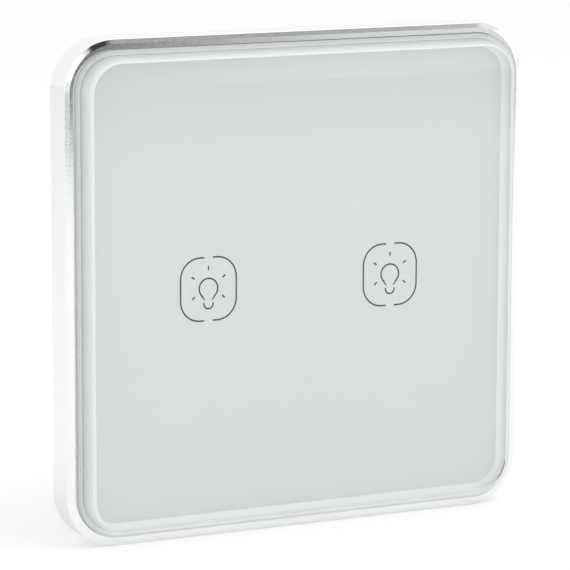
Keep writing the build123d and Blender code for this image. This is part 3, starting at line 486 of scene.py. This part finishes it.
def set_on_points(piece_name, shape, points, mat):
    """One shape set at each point by a small geometry tree, made a plain mesh."""
    cloud = bpy.data.meshes.new(piece_name)
    cloud.from_pydata([tuple(point) for point in points], [], [])
    piece = bpy.data.objects.new(piece_name, cloud)
    bpy.context.scene.collection.objects.link(piece)
    source = bpy.data.objects.new(piece_name + "_shape", shape)
    bpy.context.scene.collection.objects.link(source)
    tree = bpy.data.node_groups.new(piece_name + "_row", "GeometryNodeTree")
    new_socket = tree.interface.new_socket
    new_socket("Geometry", in_out="INPUT", socket_type="NodeSocketGeometry")
    shape_socket = new_socket("Shape", in_out="INPUT", socket_type="NodeSocketObject")
    finish_socket = new_socket("Finish", in_out="INPUT", socket_type="NodeSocketMaterial")
    new_socket("Geometry", in_out="OUTPUT", socket_type="NodeSocketGeometry")
    given = tree.nodes.new("NodeGroupInput")
    made = tree.nodes.new("NodeGroupOutput")
    info = tree.nodes.new("GeometryNodeObjectInfo")
    spread = tree.nodes.new("GeometryNodeInstanceOnPoints")
    real = tree.nodes.new("GeometryNodeRealizeInstances")
    coat = tree.nodes.new("GeometryNodeSetMaterial")
    link = tree.links.new
    link(given.outputs["Shape"], info.inputs["Object"])
    link(given.outputs["Geometry"], spread.inputs["Points"])
    link(info.outputs["Geometry"], spread.inputs["Instance"])
    link(spread.outputs["Instances"], real.inputs["Geometry"])
    link(real.outputs["Geometry"], coat.inputs["Geometry"])
    link(given.outputs["Finish"], coat.inputs["Material"])
    link(coat.outputs["Geometry"], made.inputs["Geometry"])
    row = piece.modifiers.new("row", "NODES")
    row.node_group = tree
    row[shape_socket.identifier] = source
    row[finish_socket.identifier] = mat
    graph = bpy.context.evaluated_depsgraph_get()
    mesh = bpy.data.meshes.new_from_object(piece.evaluated_get(graph))
    piece.modifiers.clear()
    piece.data = mesh
    mesh.shade_smooth()
    mesh.set_sharp_from_angle(angle=math.radians(30))
    bpy.data.objects.remove(source)
    return piece


screw_place, cover_seat = 0.0222, 0.0004
cover_screw_shape = turned_screw(radius=0.0013, length=0.011, head_radius=0.0021,
                                 head_height=0.0014, slot_width=0.0005, slot_depth=0.0008)
corner_points = [(sx * screw_place, cover_seat, sz * screw_place)
                 for sx in (-1, 1) for sz in (-1, 1)]
cover_screws = set_on_points("cover_screws_turned", cover_screw_shape, corner_points, zinc)
take_place(cover_screws, "cover_screws", "base_unit")


# Touch board: a thin board with a sensing chip, two springs that reach for the glass, and a
# lamp in the middle of each spring. Two short screws hold it on the cover's standoffs.

finished("touch_board", board_mask("touch_board_mask", 95.0))
board_seat, standoff_height = -0.0016, 0.0196
board_screw_shape = turned_screw(radius=0.001, length=0.003, head_radius=0.0018,
                                 head_height=0.0012, slot_width=0.00045, slot_depth=0.0007)
standoff_points = [(0, board_seat, -standoff_height), (0, board_seat, standoff_height)]
board_screws = set_on_points("board_screws_turned", board_screw_shape, standoff_points, zinc)
take_place(board_screws, "board_screws", "base_unit")
spring_wire = metal("tinned_spring_wire", (0.80, 0.80, 0.78), roughness=0.14, spread=0.1,
                    tarnish=0.08)
lamp_body = plastic("lamp_body", (0.78, 0.76, 0.60), roughness=0.25, grain_depth=0.000006)
for side in ("left", "right"):
    finished(f"touch_spring_{side}", spring_wire)
    finished(f"key_lamp_{side}", lamp_body)
finished("touch_controller", chip_epoxy)


# Panel carrier and its clips: a white moulding glued behind the glass, with four sprung steel
# clips pressed into it that snap through the flange.

carrier_white = plastic("carrier_plastic", (0.74, 0.74, 0.72), roughness=0.45, grain_scale=2600.0,
                        grain_depth=0.00003)
eased_copy("panel_carrier", "panel_carrier_plate", "front_panel", 0.00015, carrier_white)
finished("panel_clips", metal("clip_steel", (0.62, 0.62, 0.60), roughness=0.22,
                              grain_scale=2400.0, stretch=0.2))


# Bezel: a ring of aluminium with a bright satin, very finely speckled finish. Its outer edge has
# a chamfer, a ledge inside carries the glass, and the pocket's wall round the glass is duller,
# with a dark colour painted on as shade in the seam.

ring_steps = 18


def ring_points(half, radius, y):
    """Points round a square with rounded corners, seen from the front, all at one depth."""
    points = []
    inner = half - radius
    for corner, (sx, sz) in enumerate(((1, 1), (-1, 1), (-1, -1), (1, -1))):
        for step in range(ring_steps + 1):
            angle = math.radians(90 * corner + 90 * step / ring_steps)
            points.append((sx * inner + radius * math.cos(angle), y,
                           sz * inner + radius * math.sin(angle)))
    return points


def eased_section(corners, closed):
    """Section of (half side, corner radius, depth, easing) in mm with each corner rounded off."""
    section = []
    count = len(corners)
    for k, (half, radius, y, ease) in enumerate(corners):
        here = Vector((half, radius, y))
        if not closed and k in (0, count - 1) or ease == 0:
            section.append(here)
            continue
        before = Vector(corners[k - 1][:3]) - here
        after = Vector(corners[(k + 1) % count][:3]) - here
        before = before.normalized()
        after = after.normalized()
        section.append(here + before * ease * 2)
        for share in (0, 0.25, 0.5, 0.75, 1):
            first = here + before * ease * (1 - share)
            last = here + after * ease * share
            section.append(first.lerp(last, share))
        section.append(here + after * ease * 2)
    return section


def ring_piece(name, corners, closed, mat):
    """Plate or ring swept round the square from its section, which is in mm."""
    work = bmesh.new()
    rings = []
    for half, radius, y in eased_section(corners, closed):
        rings.append([work.verts.new([v / 1000 for v in point])
                      for point in ring_points(half, radius, y)])
    count = len(rings[0])
    pairs = list(zip(rings, rings[1:]))
    if closed:
        pairs.append((rings[-1], rings[0]))
    for first, second in pairs:
        for k in range(count):
            n = (k + 1) % count
            work.faces.new((first[k], first[n], second[n], second[k]))
    if not closed:
        work.faces.new(rings[0])
        work.faces.new(rings[-1])
    bmesh.ops.recalc_face_normals(work, faces=work.faces)
    mesh = bpy.data.meshes.new(name)
    work.to_mesh(mesh)
    work.free()
    mesh.materials.append(mat)
    mesh.shade_smooth()
    mesh.set_sharp_from_angle(angle=math.radians(40))
    piece = bpy.data.objects.new(name, mesh)
    bpy.context.scene.collection.objects.link(piece)
    return piece


def bezel_metal():
    """Bright satin metal with a fine speckle in its tone, gloss and height."""
    low, high = 0.3, 0.7
    mat, tree, shader = new_material("bezel_satin")
    link = tree.links.new
    shader.inputs["Metallic"].default_value = 1.0
    place = add_node(tree, "ShaderNodeTexCoord").outputs["Object"]
    speckle = add_node(tree, "ShaderNodeTexNoise", Scale=2600.0, Detail=4.0, Roughness=0.75)
    link(place, speckle.inputs["Vector"])
    tone = add_node(tree, "ShaderNodeMapRange", From_Min=low, From_Max=high, To_Min=0.89,
                    To_Max=0.985)
    link(speckle.outputs["Fac"], tone.inputs["Value"])
    tint = add_node(tree, "ShaderNodeCombineColor")
    for channel in ("Red", "Green", "Blue"):
        link(tone.outputs[0], tint.inputs[channel])
    gloss = add_node(tree, "ShaderNodeMapRange", From_Min=low, From_Max=high, To_Min=0.05,
                     To_Max=0.15)
    link(speckle.outputs["Fac"], gloss.inputs["Value"])
    bump = add_node(tree, "ShaderNodeBump", Strength=0.35, Distance=0.00002)
    link(speckle.outputs["Fac"], bump.inputs["Height"])
    link(tint.outputs["Color"], shader.inputs["Base Color"])
    link(gloss.outputs[0], shader.inputs["Roughness"])
    link(bump.outputs["Normal"], shader.inputs["Normal"])
    return mat


bezel = ring_piece("bezel_ring", [
    (43.0, 8.8, -0.2, 0.08), (43.0, 8.8, -6.4, 0.06), (42.2, 8.0, -6.8, 0.05),
    (41.35, 7.15, -6.8, 0.05), (41.35, 7.15, -4.8, 0), (38.05, 3.2, -4.8, 0.1),
    (38.05, 3.2, -3.8, 0.1), (41.4, 7.2, -3.8, 0), (41.4, 7.2, -0.2, 0.08),
], True, bezel_metal())
# The pocket's wall gets a dark colour as painted shade in the seam round the glass.
bezel.data.materials.append(metal("bezel_pocket_painted_shade", (0.30, 0.31, 0.31), roughness=0.4))
pocket_front, pocket_floor = -0.00674, -0.0049
for face in bezel.data.polygons:
    centre, normal = face.center, face.normal
    faces_in = normal.x * centre.x + normal.z * centre.z < 0
    if faces_in and pocket_front < centre.y < pocket_floor:
        face.material_index = 1
take_place(bezel, "bezel_frame", "front_panel")


# Bonding tape: a ring of milky acrylic foam adhesive, cut from sheet and pressed between the
# printed glass and the bezel's ledge.

finished("bonding_tape", plastic("foam_tape", (0.95, 0.965, 0.965), roughness=0.8,
                                 grain_scale=1500.0, grain_depth=0.00006))


# Print on the back of the glass: a pale grey-green ceramic coat, open at the two lamp symbols,
# which are thin dark translucent lines. Both are fired on, so no air lies before them.

def bonded_copy(node_name, piece_name, mat):
    """The frame's print with its front sunk a hair into the glass, so that no air lies between."""
    front_band, sunk = 0.00001, 0.00002
    mesh = nodes[node_name].data.copy()
    mesh.name = piece_name
    front = min(vert.co.y for vert in mesh.vertices)
    for vert in mesh.vertices:
        if vert.co.y < front + front_band:
            vert.co.y -= sunk
    mesh.materials.clear()
    mesh.materials.append(mat)
    piece = bpy.data.objects.new(piece_name, mesh)
    bpy.context.scene.collection.objects.link(piece)
    take_place(piece, node_name, "front_panel")


ceramic_print = plastic("ceramic_print", (0.702, 0.729, 0.735), roughness=0.6, grain_scale=5200.0,
                        grain_depth=0.000004, drift=0.012, specular=0.2)
symbol_line = plastic("symbol_window", (0.02, 0.024, 0.024), roughness=0.5, grain_scale=5200.0,
                      grain_depth=0.000004, drift=0.05, specular=0.2)
bonded_copy("back_print", "back_print_coat", ceramic_print)
bonded_copy("key_symbols", "key_symbol_lines", symbol_line)


# Glass panel: a 5 mm tempered plate of float glass, ground to a steep bevel all round. The face is
# polished, the inner edge is ground white with a painted highlight, and the bevel's foot and the
# ground side are painted darker as shade in the seam by the bezel.

def pass_light(tree, shader, share):
    """Let this share of the lamps' and the diffuse light straight through to what lies behind."""
    link = tree.links.new
    clear = add_node(tree, "ShaderNodeBsdfTransparent")
    path = add_node(tree, "ShaderNodeLightPath")
    passing = add_node(tree, "ShaderNodeMath", operation="MAXIMUM")
    link(path.outputs["Is Shadow Ray"], passing.inputs[0])
    link(path.outputs["Is Diffuse Ray"], passing.inputs[1])
    part = add_node(tree, "ShaderNodeMath", operation="MULTIPLY")
    part.inputs[1].default_value = share
    link(passing.outputs[0], part.inputs[0])
    blend = add_node(tree, "ShaderNodeMixShader")
    link(part.outputs[0], blend.inputs[0])
    link(shader.outputs[0], blend.inputs[1])
    link(clear.outputs[0], blend.inputs[2])
    link(blend.outputs[0], tree.nodes["Material Output"].inputs["Surface"])


glass_index = 1.52


def float_glass():
    """Clear glass with painted shade at the foot of its bevel, that lets the lamps' light through.
    """
    bevel_foot = 0.0079
    # The foot of the bevel is painted darker, as the shade in the seam between the glass and the
    # bezel.
    seam_shade_tone, clear_glass = (0.60, 0.635, 0.63, 1), (0.99, 1.0, 0.997, 1)
    mat, tree, shader = new_material("float_glass")
    link = tree.links.new
    shader.inputs["Transmission Weight"].default_value = 1.0
    shader.inputs["IOR"].default_value = glass_index
    place = add_node(tree, "ShaderNodeTexCoord").outputs["Object"]
    depth = add_node(tree, "ShaderNodeSeparateXYZ")
    link(place, depth.inputs[0])
    past_foot = add_node(tree, "ShaderNodeMath", operation="ADD")
    past_foot.inputs[1].default_value = bevel_foot
    link(depth.outputs["Y"], past_foot.inputs[0])
    reach = add_node(tree, "ShaderNodeMath", operation="ABSOLUTE")
    link(past_foot.outputs[0], reach.inputs[0])
    seam_shade_fade = add_node(tree, "ShaderNodeMapRange", From_Min=0.0003, From_Max=0.0013,
                      interpolation_type="SMOOTHSTEP")
    link(reach.outputs[0], seam_shade_fade.inputs["Value"])
    tint = add_node(tree, "ShaderNodeMix", data_type="RGBA")
    tint.inputs[6].default_value = seam_shade_tone
    tint.inputs[7].default_value = clear_glass
    link(seam_shade_fade.outputs[0], tint.inputs[0])
    link(tint.outputs[2], shader.inputs["Base Color"])
    smear = add_node(tree, "ShaderNodeTexNoise", Scale=45.0, Detail=4.0)
    link(place, smear.inputs["Vector"])
    gloss = add_node(tree, "ShaderNodeMapRange", From_Min=0.4, From_Max=0.8, To_Min=0.0,
                     To_Max=0.03)
    link(smear.outputs["Fac"], gloss.inputs["Value"])
    link(gloss.outputs[0], shader.inputs["Roughness"])
    pass_light(tree, shader, 1.0)
    return mat


def ground_finish(name, clearness, darkest, brightest):
    """Belt-ground glass with a fine grit in its tone and gloss, part clear and part dull."""
    mat, tree, shader = new_material(name)
    link = tree.links.new
    shader.inputs["Transmission Weight"].default_value = clearness
    shader.inputs["IOR"].default_value = glass_index
    place = add_node(tree, "ShaderNodeTexCoord").outputs["Object"]
    grit = add_node(tree, "ShaderNodeTexNoise", Scale=1800.0, Detail=4.0)
    link(place, grit.inputs["Vector"])
    tint = add_node(tree, "ShaderNodeMix", data_type="RGBA")
    tint.inputs[6].default_value = (*darkest, 1)
    tint.inputs[7].default_value = (*brightest, 1)
    link(grit.outputs["Fac"], tint.inputs[0])
    rough = add_node(tree, "ShaderNodeMapRange", From_Min=0.3, From_Max=0.7, To_Min=0.35,
                     To_Max=0.5)
    link(grit.outputs["Fac"], rough.inputs["Value"])
    link(tint.outputs[2], shader.inputs["Base Color"])
    link(rough.outputs[0], shader.inputs["Roughness"])
    pass_light(tree, shader, 0.85)
    return mat


glass = ring_piece("glass_plate", [
    (40.5, 6.3, -5.2, 0), (41.25, 7.05, -5.2, 0.12), (41.25, 7.05, -7.9, 0.1),
    (40.1, 5.9, -9.25642, 0), (39.7, 5.5, -9.72821, 0), (39.3, 5.1, -10.2, 0.12),
    (38.9, 4.7, -10.2, 0),
], False, float_glass())
# The bevel's inner edge is ground white, and its white is made paler still as a painted highlight
# line.
grind_and_highlight_low, grind_and_highlight_high = (0.84, 0.85, 0.85), (0.94, 0.95, 0.95)
# The glass's ground side is painted darker than its grinding leaves it, as shade in the seam by the
# bezel.
side_grind_and_shade_low, side_grind_and_shade_high = (0.52, 0.57, 0.56), (0.68, 0.73, 0.72)
glass.data.materials.append(ground_finish("ground_arris_and_highlight", 0.3, grind_and_highlight_low, grind_and_highlight_high))
glass.data.materials.append(ground_finish("ground_feather_and_highlight", 0.72, grind_and_highlight_low, grind_and_highlight_high))
glass.data.materials.append(ground_finish("ground_side_and_shade", 0.35, side_grind_and_shade_low, side_grind_and_shade_high))
# Bands of the bevel and side that take the ground finishes with their painted highlight and shade.
ground_and_painted_zones = [(1, -0.010195, -0.0097), (2, -0.0097, -0.0092), (3, -0.0078, -0.0053)]
for face in glass.data.polygons:
    for index, nearest, farthest in ground_and_painted_zones:
        if nearest < face.center.y < farthest:
            face.material_index = index
take_place(glass, "glass_panel", "front_panel")


# The studio: a white table that ends a little in front of the switch, soft lamps, and a
# camera at the photograph's place, front left and slightly above.

def flat_sheet(name, low_x, high_x, low_y, high_y, z):
    """Level sheet for the switch to stand on."""
    mesh = bpy.data.meshes.new(name)
    corners = [(low_x, low_y, z), (high_x, low_y, z), (high_x, high_y, z), (low_x, high_y, z)]
    mesh.from_pydata(corners, [], [(0, 1, 2, 3)])
    sheet = bpy.data.objects.new(name, mesh)
    bpy.context.scene.collection.objects.link(sheet)
    return sheet


def table_white():
    """White table that looks almost pure white, and still takes the switch's shadow.

    Seen by the camera or in a mirror, part of it glows. In a mirror, its front end is dim.
    """
    camera_glow, mirror_glow = 0.44, 0.15
    mat, tree, shader = new_material("table_white")
    link = tree.links.new
    shader.inputs["Roughness"].default_value = 0.9
    shader.inputs["Specular IOR Level"].default_value = 0.0
    glow = add_node(tree, "ShaderNodeEmission", Strength=1.23)
    path = add_node(tree, "ShaderNodeLightPath")
    mirrored = add_node(tree, "ShaderNodeMath", operation="MAXIMUM")
    link(path.outputs["Is Glossy Ray"], mirrored.inputs[0])
    link(path.outputs["Is Transmission Ray"], mirrored.inputs[1])
    seen = add_node(tree, "ShaderNodeMath", operation="MAXIMUM")
    link(path.outputs["Is Camera Ray"], seen.inputs[0])
    link(mirrored.outputs[0], seen.inputs[1])
    share = add_node(tree, "ShaderNodeMapRange", From_Min=0.0, From_Max=1.0, To_Min=camera_glow,
                     To_Max=mirror_glow)
    link(mirrored.outputs[0], share.inputs["Value"])
    lit = add_node(tree, "ShaderNodeMath", operation="MULTIPLY")
    link(seen.outputs[0], lit.inputs[0])
    link(share.outputs[0], lit.inputs[1])
    along = add_node(tree, "ShaderNodeSeparateXYZ")
    link(add_node(tree, "ShaderNodeTexCoord").outputs["Object"], along.inputs[0])
    front = add_node(tree, "ShaderNodeMapRange", From_Min=-0.60, From_Max=-0.42, To_Min=0.08,
                     To_Max=0.92, interpolation_type="SMOOTHSTEP")
    link(along.outputs["Y"], front.inputs["Value"])
    shade = add_node(tree, "ShaderNodeMix", data_type="RGBA")
    shade.inputs[6].default_value = (0.92, 0.92, 0.92, 1)
    link(mirrored.outputs[0], shade.inputs[0])
    link(front.outputs[0], shade.inputs[7])
    link(shade.outputs[2], glow.inputs["Color"])
    link(shade.outputs[2], shader.inputs["Base Color"])
    mixed = add_node(tree, "ShaderNodeMixShader")
    link(lit.outputs[0], mixed.inputs["Fac"])
    link(shader.outputs[0], mixed.inputs[1])
    link(glow.outputs[0], mixed.inputs[2])
    link(mixed.outputs[0], tree.nodes["Material Output"].inputs["Surface"])
    return mat


table = flat_sheet("white_table", -1.6, 1.6, -0.62, 2.0, -0.043)
table.data.materials.append(table_white())


def studio_air():
    """Soft light from all round, with dim parts of the room in front, to the right."""
    nearly_level, dim_tone = 0.01, (0.035, 0.035, 0.04, 1)
    world = bpy.data.worlds.new("studio")
    bpy.context.scene.world = world
    world.use_nodes = True
    tree = world.node_tree
    link = tree.links.new
    back = tree.nodes["Background"]
    way = add_node(tree, "ShaderNodeTexCoord").outputs["Generated"]
    parts = add_node(tree, "ShaderNodeSeparateXYZ")
    link(way, parts.inputs[0])
    ahead_part = add_node(tree, "ShaderNodeMath", operation="MULTIPLY")
    ahead_part.inputs[1].default_value = -1.0
    link(parts.outputs["Y"], ahead_part.inputs[0])
    in_front = add_node(tree, "ShaderNodeMath", operation="MAXIMUM")
    in_front.inputs[1].default_value = nearly_level
    link(ahead_part.outputs[0], in_front.inputs[0])
    ratios = {}
    for axis in ("X", "Z"):
        ratios[axis] = add_node(tree, "ShaderNodeMath", operation="DIVIDE")
        link(parts.outputs[axis], ratios[axis].inputs[0])
        link(in_front.outputs[0], ratios[axis].inputs[1])

    def dim_patch(depth, soft, **spans):
        """Soft-edged rectangle of the room in front, as far dimmed as its depth says."""
        patch = None
        for axis, (low, high) in spans.items():
            for first, last in ((low - soft, low + soft), (high + soft, high - soft)):
                edge = add_node(tree, "ShaderNodeMapRange", From_Min=first, From_Max=last,
                                To_Max=1.0 if patch else depth, interpolation_type="SMOOTHSTEP")
                link(ratios[axis].outputs[0], edge.inputs["Value"])
                if patch:
                    both = add_node(tree, "ShaderNodeMath", operation="MULTIPLY")
                    link(patch.outputs[0], both.inputs[0])
                    link(edge.outputs[0], both.inputs[1])
                    edge = both
                patch = edge
        return patch

    dim = add_node(tree, "ShaderNodeMath", operation="MAXIMUM")
    link(dim_patch(1.0, 0.05, X=(-0.10, 0.46), Z=(-0.16, 1.15)).outputs[0], dim.inputs[0])
    link(dim_patch(0.62, 0.06, X=(0.38, 0.88), Z=(0.5, 1.15)).outputs[0], dim.inputs[1])
    room = add_node(tree, "ShaderNodeMix", data_type="RGBA")
    behind = add_node(tree, "ShaderNodeMapRange", From_Min=-0.2, From_Max=0.4, To_Min=0.86,
                      To_Max=0.97)
    link(parts.outputs["Y"], behind.inputs["Value"])
    link(behind.outputs[0], room.inputs[6])
    room.inputs[7].default_value = dim_tone
    link(dim.outputs[0], room.inputs[0])
    path = add_node(tree, "ShaderNodeLightPath")
    seen = add_node(tree, "ShaderNodeMix", data_type="RGBA")
    seen.inputs[7].default_value = (1, 1, 1, 1)
    link(path.outputs["Is Camera Ray"], seen.inputs[0])
    link(room.outputs[2], seen.inputs[6])
    link(seen.outputs[2], back.inputs["Color"])


studio_air()


def soft_lamp(name, place, width, height, power):
    """Rectangular softbox that faces the switch."""
    data = bpy.data.lights.new(name, "AREA")
    data.shape = "RECTANGLE"
    data.size = width
    data.size_y = height
    data.energy = power
    lamp = bpy.data.objects.new(name, data)
    bpy.context.scene.collection.objects.link(lamp)
    turn = (-Vector(place)).to_track_quat("-Z", "Y")
    lamp.matrix_world = Matrix.Translation(place) @ turn.to_matrix().to_4x4()


soft_lamp("top_softbox", (0.33, -0.36, 0.98), width=0.8, height=0.36, power=2.35)
soft_lamp("left_softbox", (-1.0, -0.45, 0.25), width=0.7, height=0.7, power=1.5)
soft_lamp("camera_side_softbox", (-0.62, -1.1, 0.5), width=0.6, height=0.6, power=1.0)
soft_lamp("right_softbox", (1.05, -0.5, 0.25), width=0.6, height=0.6, power=1.5)

camera_data = bpy.data.cameras.new("photo_camera")
sensor_width, photo_width, focal_pixels = 36.0, 570, 3322.584
camera_data.sensor_width = sensor_width
camera_data.lens = focal_pixels / photo_width * sensor_width
camera_data.clip_start = 0.01
camera = bpy.data.objects.new("photo_camera", camera_data)
bpy.context.scene.collection.objects.link(camera)
yaw, pitch, roll = 0.45427785, 0.17608443, 0.00398707
ahead = Vector((math.sin(yaw) * math.cos(pitch), math.cos(yaw) * math.cos(pitch),
                -math.sin(pitch)))
right = Vector((math.cos(yaw), -math.sin(yaw), 0))
up = right.cross(ahead)
turned_right = right * math.cos(roll) + up * math.sin(roll)
turned_up = up * math.cos(roll) - right * math.sin(roll)
aim_point = Vector((0, -0.005, 0))
distance, shift_right, shift_up = 0.5710398, -0.00168316, -0.00093347
eye = aim_point - ahead * distance + turned_right * shift_right + turned_up * shift_up
facing = Matrix((turned_right, turned_up, -ahead)).transposed().to_4x4()
camera.matrix_world = Matrix.Translation(eye) @ facing
bpy.context.scene.camera = camera
bpy.context.scene.view_settings.view_transform = "Standard"
